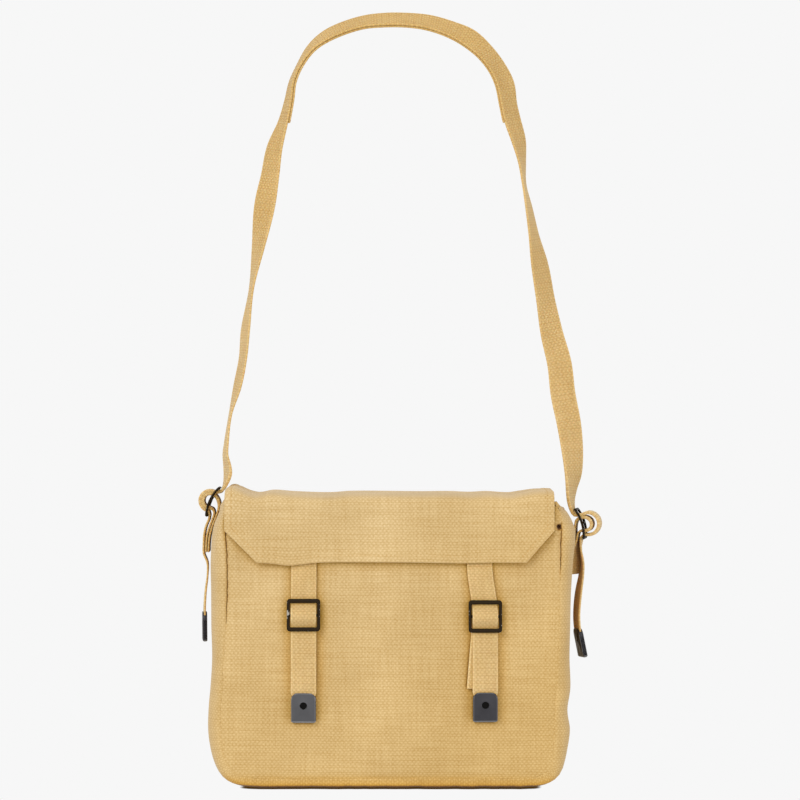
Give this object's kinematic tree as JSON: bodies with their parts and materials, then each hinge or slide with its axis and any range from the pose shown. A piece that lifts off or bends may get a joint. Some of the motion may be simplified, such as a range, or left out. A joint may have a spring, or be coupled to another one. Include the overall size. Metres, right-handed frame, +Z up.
{
  "type": "canvas haversack",
  "caption": "Canvas shoulder bag with a boxy body, cut-corner flap, webbing closure straps through square tuck buckles and a long padded webbing shoulder strap.",
  "frame": {"origin": "under the crown of the shoulder strap, midway between its edges, where a hand, shoulder or hook carries it", "axes": "+Z up along the strap, -Y out of the front panel, +X to the right seen from the front"},
  "size_m": [0.3902, 0.1317, 0.7486],
  "materials": {
    "canvas": "coarse plain-woven cotton canvas, matt sandy yellow",
    "webbing": "woven cotton webbing, matt sandy yellow",
    "black_paint": "black painted steel, worn along its edges",
    "gunmetal": "dark blued steel sheet, satin"
  },
  "bodies": {
    "root": {"front_panel": "canvas", "back_panel": "canvas", "gusset": "canvas", "flap": "canvas", "closure_strap_left": "webbing", "closure_tip_left": "gunmetal", "closure_chape_left": "webbing", "closure_buckle_left": "black_paint", "closure_strap_right": "webbing", "closure_tip_right": "gunmetal", "closure_chape_right": "webbing", "closure_buckle_right": "black_paint", "shoulder_strap": "webbing", "shoulder_pad": "webbing", "side_buckle_left": "black_paint", "side_chape_left": "webbing", "side_buckle_right": "black_paint", "side_chape_right": "webbing", "side_tip_left": "gunmetal", "side_tip_right": "gunmetal"}
  },
  "joints": []
}
